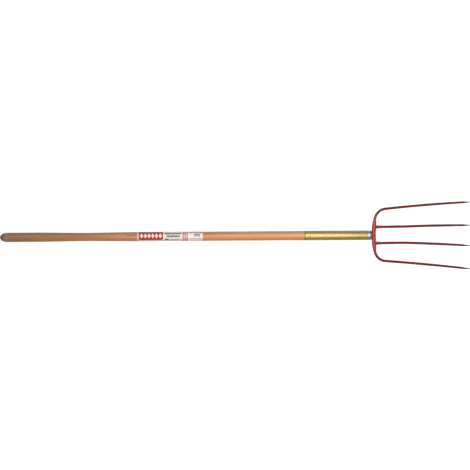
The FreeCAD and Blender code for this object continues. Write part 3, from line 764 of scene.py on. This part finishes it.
point_turn = POINT_LENGTH / DISH_RADIUS
point_widths = stepped(between(POINT_TAPER, POINT_END_WIDTH, TINE_END_WIDTH), POINT_STEPS)
tine_stations = [(0, TINE_WIDTH), (TINE_MIDDLE, TINE_MIDDLE_WIDTH), (1, TINE_END_WIDTH)]

# Half of the bar, its corner and the outer tine, drawn out from the bar's middle
bar_turn = math.asin(BAR_HALF_SPAN / BAR_BOW)
bar_end_x = BAR_BOW * (1 - math.cos(bar_turn))
corner_centre = (
    bar_end_x + CORNER_RADIUS * math.cos(bar_turn),
    BAR_HALF_SPAN - CORNER_RADIUS * math.sin(bar_turn),
    0,
)
corner_end_x = corner_centre[0] - CORNER_RADIUS * math.sin(OUTER_SPLAY)
corner_turn = math.pi / 2 - bar_turn - OUTER_SPLAY
outer_turn = math.asin((TINE_REACH - corner_end_x) / (DISH_RADIUS * math.cos(OUTER_SPLAY)))
root_place = math.asin(ROOT_HALF / BAR_BOW) / bar_turn
bar_stations = [(0, BAR_WIDTH), (root_place, BAR_ROOT_WIDTH)]
for share, width in between(BAR_NARROWING, BAR_ROOT_WIDTH, BAR_END_WIDTH):
    bar_stations.append((root_place + (1 - root_place) * share, width))
corner_widths = [
    TINE_WIDTH + (BAR_END_WIDTH - TINE_WIDTH) * (1 - step / CORNER_STEPS) ** 2
    for step in range(CORNER_STEPS + 1)
]
corner_flattening = (TINE_DEPTH_SHARE / BAR_DEPTH_SHARE) ** (1 / CORNER_STEPS)
half_bow = start_bar("half_bow", BAR_WIDTH, BAR_DEPTH_SHARE)
bpy.ops.transform.rotate(value=math.pi / 2, orient_axis="Z", center_override=(0, 0, 0))
bend_out(half_bow, (BAR_BOW, 0, 0), DOWNWARD, bar_turn, stepped(bar_stations, BAR_STEPS))
bend_out(half_bow, corner_centre, DOWNWARD, corner_turn, corner_widths, corner_flattening)
dish(half_bow, 0, outer_turn - point_turn, OUTER_SPLAY, stepped(tine_stations, TINE_STEPS))
dish(half_bow, outer_turn - point_turn, outer_turn, OUTER_SPLAY, point_widths)
finish_piece(half_bow, Matrix())

# An inner tine: a heavy root on the bar, a level stretch, and the same hollow, flared a little
flare_turn = math.asin((FLARE_PLACE - corner_end_x) / DISH_RADIUS)
inner_turn = math.asin(
    (TINE_REACH - FLARE_PLACE) / (DISH_RADIUS * math.cos(FLARE)) + math.sin(flare_turn)
)
inner_tine = start_bar("inner_tine", ROOT_WIDTH, TINE_DEPTH_SHARE)
root_stations = between(ROOT_SWELLING, TINE_WIDTH, ROOT_WIDTH)
draw_out(inner_tine, corner_end_x, stepped(root_stations, ROOT_STEPS))
dish(inner_tine, 0, flare_turn, 0, [TINE_WIDTH] * (FLARE_STEPS + 1))
inner_widths = stepped(tine_stations, TINE_STEPS - FLARE_STEPS)
dish(inner_tine, flare_turn, inner_turn - point_turn, FLARE, inner_widths)
dish(inner_tine, inner_turn - point_turn, inner_turn, FLARE, point_widths)
finish_piece(inner_tine, Matrix.Translation((0, ROOT_HALF, 0)))

# The neck, and the other half of the head
NECK_RADIUS = 0.007
NECK_WAIST_RADIUS = NECK_RADIUS * 0.97
NECK_RUNOUT_RADIUS = 0.004
NECK_LENGTH = 0.00655
NECK_OVERLAP = 0.0001
NECK_RUNOUT = 0.003
neck = turned_piece(
    "neck",
    [
        (-NECK_LENGTH - NECK_OVERLAP, NECK_RADIUS),
        (-NECK_LENGTH / 2, NECK_WAIST_RADIUS),
        (NECK_RUNOUT, NECK_RUNOUT_RADIUS),
    ],
    FORGED_SIDES,
    place=Matrix.Rotation(-HEAD_SLOPE, 4, "Y") @ Matrix.Translation((0, 0, BAR_DROP)),
)
bpy.ops.object.select_all(action="DESELECT")
half_bow.select_set(True)
inner_tine.select_set(True)
bpy.context.view_layer.objects.active = half_bow
bpy.ops.object.join()
head = half_bow
head.name = "forged_head"
mirror = head.modifiers.new("other_half", "MIRROR")
mirror.use_axis = (False, True, False)
mirror.use_mirror_merge = False
bpy.ops.object.modifier_apply(modifier=mirror.name)
neck.select_set(True)
bpy.ops.object.join()
bpy.ops.object.mode_set(mode="EDIT")
bpy.ops.mesh.select_all(action="SELECT")
bpy.ops.mesh.normals_make_consistent()
bpy.ops.object.mode_set(mode="OBJECT")

# One skin over all of it, with blended roots and hammer marks, as the forge leaves them
SKIN_SIZE = 0.0007
ROUNDING = 0.5
ROOT_ROUNDING_PASSES = 5
HAMMER_MARK_SIZE = 0.016
HAMMER_MARK_DEPTH = 0.0003
HAMMER_MARK_LEVEL = 0.7
head.data.remesh_voxel_size = SKIN_SIZE
head.data.remesh_voxel_adaptivity = 0
bpy.ops.object.voxel_remesh()
rounding = head.modifiers.new("rounded_roots", "SMOOTH")
rounding.factor = ROUNDING
rounding.iterations = ROOT_ROUNDING_PASSES
bpy.ops.object.modifier_apply(modifier=rounding.name)
hammer_marks = bpy.data.textures.new("hammer_marks", "CLOUDS")
hammer_marks.noise_scale = HAMMER_MARK_SIZE
marks = head.modifiers.new("hammer_marks", "DISPLACE")
marks.texture = hammer_marks
marks.strength = HAMMER_MARK_DEPTH
marks.mid_level = HAMMER_MARK_LEVEL
bpy.ops.object.modifier_apply(modifier=marks.name)

# The very ends of the points, blunted on the stone
BLUNT_END = 0.0022
BLUNTING_CUTS = 2
BLUNTING_PASSES = 8
bpy.ops.object.mode_set(mode="EDIT")
bpy.ops.mesh.select_mode(type="VERT")
bpy.ops.mesh.select_all(action="DESELECT")
forging = bmesh.from_edit_mesh(head.data)
for vertex in forging.verts:
    if vertex.co.x > TINE_REACH - BLUNT_END:
        vertex.select_set(True)
forging.select_flush(True)
bmesh.update_edit_mesh(head.data)
bpy.ops.mesh.subdivide(number_cuts=BLUNTING_CUTS, smoothness=1)
bpy.ops.mesh.vertices_smooth(factor=ROUNDING, repeat=BLUNTING_PASSES)
bpy.ops.object.mode_set(mode="OBJECT")
head.matrix_world = HEAD
bpy.ops.object.transform_apply()
bpy.ops.object.shade_smooth()

PAINT_RED = colour(176, 52, 48)
# The next two reds are painted shade: the first on the tines, where it also makes random clouds, the
# second in the corners and towards the points
PAINT_SHADE_AND_CLOUDS = colour(126, 27, 16)
PAINT_SHADE_DARKEST = colour(84, 27, 18)
SCUFFED_PAINT = colour(120, 60, 52)
GROUND_STEEL = colour(70, 68, 66)
GROUND_LINES = colour(112, 109, 106)
ENAMEL_SHEEN = 0.12
ENAMEL_COAT_ROUGHNESS = 0.3
ENAMEL_ROUGHNESS = (0.36, 0.28)
PAINT_WAVES = (160, 160, 160)
PAINT_RELIEF = 0.00003
red_enamel, tree, shader = new_material(
    "red_enamel", specular_ior_level=ENAMEL_SHEEN, coat_roughness=ENAMEL_COAT_ROUGHNESS
)
place = object_place(tree)
places = split(tree, place)

# Painted shade: a deeper red on the tines, and a darker red in the corners and towards the points.
# Clouds of the deeper red also vary the paint at random
TINE_START = 0.425
TINE_FADE = 0.04
TINE_SHADE_SHARE = 0.75
PAINT_CLOUDS = (60, 60, 60)
PAINT_CLOUD_LIMITS = (0.3, 0.7)
PAINT_CLOUD_SHARE = 0.25
POINT_SHADE_REACH = (0.03, 0.2)
CORNER_REACH_Y = (0.032, 0.066)
CORNER_REACH_X = (0.444, 0.466)
POINT_AND_CORNER_SHADE = 0.85
SCUFF_STRETCH = (60, 800, 800)
SCUFF_SHARE = 0.5
ENAMEL_COAT = (0.8, 0.15)
tine_limits = (TINE_START, TINE_START + TINE_FADE)
clouding = noise(tree, place, PAINT_CLOUDS, detail=3)
# Painted shade: the paint turns a deeper red along the tines
shade_on_tines = spread(tree, places["X"], *tine_limits, 0, TINE_SHADE_SHARE)
in_clouds = spread(tree, clouding, *PAINT_CLOUD_LIMITS, 0, PAINT_CLOUD_SHARE)
paint = blended(tree, maths(tree, "ADD", shade_on_tines, in_clouds), PAINT_RED, PAINT_SHADE_AND_CLOUDS)
# Painted shade: the paint turns a darker red towards the points, and in the corners by the bar
point_shade_start, point_shade_end = TINE_START + POINT_SHADE_REACH[0], TINE_START + POINT_SHADE_REACH[1]
shade_to_points = spread(tree, places["X"], point_shade_start, point_shade_end, 0, POINT_AND_CORNER_SHADE)
to_side = spread(tree, maths(tree, "ABSOLUTE", places["Y"]), *CORNER_REACH_Y, 0, POINT_AND_CORNER_SHADE)
by_bar = spread(tree, places["X"], *CORNER_REACH_X, 1, 0)
shade_in_corner = maths(tree, "MULTIPLY", to_side, by_bar)
paint = blended(tree, maths(tree, "MAXIMUM", shade_to_points, shade_in_corner), paint, PAINT_SHADE_DARKEST)
scuffs = use_group(tree, drawn_lines, {"Place": place, "Stretch": SCUFF_STRETCH})["Scratches"]
paint = blended(tree, maths(tree, "MULTIPLY", scuffs, SCUFF_SHARE), paint, SCUFFED_PAINT)

# The stone has cut the paint off the points along a ragged edge, and left its lines along them
GROUND_LENGTH = 0.0185
GROUND_FADE = 0.0012
RAGGED_SCALE = (260, 260, 260)
RAGGED_WIDTH = 0.006
POINT_RISE = math.radians(28)
STONE_STRETCH = (110, 2600, 2600)
STONE_SHARE = 0.45
STONE_RELIEF = 0.4
GROUND_DULLING = 0.14
ground_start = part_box("fork_head")[1].x - GROUND_LENGTH
ragged = noise(tree, place, RAGGED_SCALE, detail=4)
ragged_x = maths(tree, "SUBTRACT", places["X"], RAGGED_WIDTH / 2)
ragged_x = maths(tree, "MULTIPLY_ADD", ragged, RAGGED_WIDTH, ragged_x)
bare = spread(tree, ragged_x, ground_start, ground_start + GROUND_FADE)
along_point = new_node(
    tree, "ShaderNodeMapping", {"Vector": place, "Rotation": (0, POINT_RISE, 0)}
).outputs[0]
stone = use_group(tree, drawn_lines, {"Place": along_point, "Stretch": STONE_STRETCH})["Lines"]
ground = blended(tree, maths(tree, "MULTIPLY", stone, STONE_SHARE), GROUND_STEEL, GROUND_LINES)
tree.links.new(blended(tree, bare, paint, ground), shader.inputs["Base Color"])
tree.links.new(bare, shader.inputs["Metallic"])
coat = spread(tree, places["X"], *tine_limits, *ENAMEL_COAT)
tree.links.new(maths(tree, "SUBTRACT", coat, bare), shader.inputs["Coat Weight"])
roughness = spread(tree, clouding, *PAINT_CLOUD_LIMITS, *ENAMEL_ROUGHNESS)
roughness = maths(tree, "ADD", roughness, maths(tree, "MULTIPLY", bare, GROUND_DULLING))
tree.links.new(roughness, shader.inputs["Roughness"])
waves = noise(tree, place, PAINT_WAVES, detail=3)
stone_cut = maths(tree, "MULTIPLY", maths(tree, "MULTIPLY", bare, stone), STONE_RELIEF)
bump(tree, shader, maths(tree, "ADD", waves, stone_cut), PAINT_RELIEF)
head.data.materials.append(red_enamel)
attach(head, "root")
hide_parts("fork_head")


# Label: a printed film wrapped once round the back of the shank, with its end lapped over its
# start along the underside. The print is plain: a red panel with a row of diamonds, and bars.
LABEL_BACK = 0.4125
LABEL_FRONT = 0.61
FILM_INSIDE = 0.01402
FILM_OUTSIDE = 0.01414
LAP_HALF_WIDTH = 0.003
UNDERSIDE = -0.9
label = turned_piece(
    "label_wrap",
    [
        (LABEL_BACK, FILM_INSIDE),
        (LABEL_BACK, FILM_OUTSIDE),
        (LABEL_FRONT, FILM_OUTSIDE),
        (LABEL_FRONT, FILM_INSIDE),
        (LABEL_BACK, FILM_INSIDE),
    ],
    LATHE_SIDES,
    filled=False,
)
bpy.ops.object.mode_set(mode="EDIT")
bpy.ops.mesh.select_mode(type="FACE")
bpy.ops.mesh.select_all(action="DESELECT")
film = bmesh.from_edit_mesh(label.data)
label_middle = TOOL @ Vector(((LABEL_BACK + LABEL_FRONT) / 2, 0, 0))
for face in film.faces:
    reach = face.calc_center_median() - label_middle
    if face.normal.z < UNDERSIDE and reach.z < 0 and abs(reach.y) < LAP_HALF_WIDTH:
        face.select_set(True)
bmesh.update_edit_mesh(label.data)
bpy.ops.mesh.extrude_region_shrink_fatten(
    TRANSFORM_OT_shrink_fatten={"value": FILM_OUTSIDE - FILM_INSIDE}
)
bpy.ops.object.mode_set(mode="OBJECT")

FILM_WHITE = colour(255, 240, 229)
FILM_END_PEACH = colour(255, 206, 186)
PRINT_RED = colour(190, 54, 50)
PRINT_PINK = colour(240, 180, 168)
PRINT_GREY = colour(44, 42, 42)
FILM_ROUGHNESS = 0.4
printed_film, tree, shader = new_material("printed_film", roughness=FILM_ROUGHNESS)
place = object_place(tree)
on_tool = new_node(
    tree,
    "ShaderNodeMapping",
    {"Vector": place, "Location": BUTT, "Rotation": (0, TOOL_LEAN, 0)},
    vector_type="TEXTURE",
).outputs[0]
on_tool = split(tree, on_tool)
along = on_tool["X"]
turn = maths(tree, "ARCTAN2", on_tool["Y"], on_tool["Z"])
around = maths(tree, "MULTIPLY", turn, FILM_OUTSIDE)

# The print's places are in metres along the handle from its butt, and round it from its top line
PRINT_EDGE = 0.0002
ALL_ROUND = (-0.05, 0.05)


def band(value, low, high):
    """1 between two limits."""
    rise = new_node(tree, "ShaderNodeMapRange", {0: value, 1: low, 2: low + PRINT_EDGE}).outputs[0]
    fall = new_node(tree, "ShaderNodeMapRange", {0: value, 1: high, 2: high + PRINT_EDGE}).outputs[0]
    return maths(tree, "SUBTRACT", rise, fall)


def block(start, end, low, high):
    """1 inside a rectangle of the print."""
    return maths(tree, "MULTIPLY", band(along, start, end), band(around, low, high))


def past_edge(value, low, high, corner):
    """How far a place is past the straight part of a panel's side, and 0 beside it."""
    from_middle = maths(tree, "ABSOLUTE", maths(tree, "SUBTRACT", value, (low + high) / 2))
    return maths(tree, "MAXIMUM", maths(tree, "SUBTRACT", from_middle, (high - low) / 2 - corner), 0.0)


def rounded_panel(start, end, low, high, corner):
    """1 inside a panel with round corners."""
    past_end = maths(tree, "POWER", past_edge(along, start, end, corner), 2.0)
    past_side = maths(tree, "POWER", past_edge(around, low, high, corner), 2.0)
    distance = maths(tree, "SQRT", maths(tree, "ADD", past_end, past_side))
    return spread(tree, distance, corner - PRINT_EDGE / 2, corner + PRINT_EDGE / 2, 1, 0)


END_BANDS = ((0.4, 0.4165), (0.6062, 0.62))
end_bands = maths(tree, "MAXIMUM", *[block(*end_band, *ALL_ROUND) for end_band in END_BANDS])
printed = blended(tree, end_bands, FILM_WHITE, FILM_END_PEACH)

PANEL = (0.4172, 0.4905, -0.0108, 0.0205)
PANEL_CORNER = 0.006
printed = blended(tree, rounded_panel(*PANEL, PANEL_CORNER), printed, PRINT_RED)

DIAMOND_START = 0.426
DIAMOND_STEP = 0.0112
DIAMOND_COUNT = 6
DIAMOND_MARGIN = 0.005
DIAMOND_MIDDLE = 0.0034
DIAMOND_SLIMNESS = 0.6
DIAMOND_EDGE = (0.0048, 0.005)
diamond_end = DIAMOND_START + (DIAMOND_COUNT - 1) * DIAMOND_STEP
in_step = maths(tree, "PINGPONG", maths(tree, "SUBTRACT", along, DIAMOND_START), DIAMOND_STEP / 2)
aside = maths(tree, "ABSOLUTE", maths(tree, "SUBTRACT", around, DIAMOND_MIDDLE))
diamond_reach = maths(tree, "ADD", in_step, maths(tree, "MULTIPLY", aside, DIAMOND_SLIMNESS))
diamonds = spread(tree, diamond_reach, *DIAMOND_EDGE, 1, 0)
in_row = band(along, DIAMOND_START - DIAMOND_MARGIN, diamond_end + DIAMOND_MARGIN)
printed = blended(tree, maths(tree, "MULTIPLY", diamonds, in_row), printed, FILM_WHITE)

# Three red stripes, with a pink cast between them
STRIPES = (0.5495, 0.5552, 0.5609)
STRIPE_WIDTH = 0.0024
PINK_BLOCK = (0.5475, 0.5655, -0.03, 0.0205)
PINK_SHARE = 0.45
printed = blended(tree, maths(tree, "MULTIPLY", block(*PINK_BLOCK), PINK_SHARE), printed, PRINT_PINK)
for stripe in STRIPES:
    printed = blended(tree, block(stripe, stripe + STRIPE_WIDTH, *ALL_ROUND), printed, PRINT_RED)

# Rows of plain dashes in groups of uneven length
DASH_ROWS = (
    (0.4957, 0.5451, 0.0072, 0.0122),
    (0.5005, 0.541, -0.0016, 0.0044),
    (0.511, 0.5451, -0.0096, -0.0076),
)
DASH_STEP = 0.0029
DASH_EDGE = (0.0002, 0.0004)
DASH_GROUP_SCALE = (150, 1, 1)
DASH_GROUP_EDGE = (0.34, 0.36)
in_group = spread(tree, noise(tree, place, DASH_GROUP_SCALE, detail=0), *DASH_GROUP_EDGE)
in_dash = spread(tree, maths(tree, "PINGPONG", along, DASH_STEP / 2), *DASH_EDGE)
dashes = maths(tree, "MULTIPLY", in_dash, in_group)
for dash_row in DASH_ROWS:
    row = maths(tree, "MULTIPLY", block(*dash_row), dashes)
    printed = blended(tree, row, printed, PRINT_GREY)

# Plain grey blocks, bars and lines
SMALL_BLOCK = (0.4957, 0.507, -0.0104, -0.0064)
TOP_STRIP = (0.5675, 0.6085, 0.0135, 0.0182)
TOP_STRIP_SHARE = 0.8
PRINT_BAR_SPAN = (0.5825, 0.6019)
PRINT_BAR_LOWS = [0.0006 + row * 0.0024 for row in range(4)]
PRINT_BAR_HEIGHT = 0.0014
PRINT_LINE_SPAN = (0.572, 0.6049)
PRINT_LINE_LOWS = (-0.0054, -0.0078)
PRINT_LINE_HEIGHT = 0.0007
print_bars = [(*PRINT_BAR_SPAN, low, low + PRINT_BAR_HEIGHT) for low in PRINT_BAR_LOWS]
print_lines = [(*PRINT_LINE_SPAN, low, low + PRINT_LINE_HEIGHT) for low in PRINT_LINE_LOWS]
strip = maths(tree, "MULTIPLY", block(*TOP_STRIP), TOP_STRIP_SHARE)
printed = blended(tree, strip, printed, PRINT_GREY)
for grey_block in (SMALL_BLOCK, *print_bars, *print_lines):
    printed = blended(tree, block(*grey_block), printed, PRINT_GREY)
tree.links.new(printed, shader.inputs["Base Color"])

WRINKLE_SCALE = (18, 90, 90)
WRINKLE_DEPTH = 0.0004
WRINKLE_STRENGTH = 0.6
wrinkles = noise(tree, place, WRINKLE_SCALE, distortion=0.5)
bump(tree, shader, wrinkles, WRINKLE_DEPTH, WRINKLE_STRENGTH)
label.data.materials.append(printed_film)
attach(label, "root")
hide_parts("handle_label")
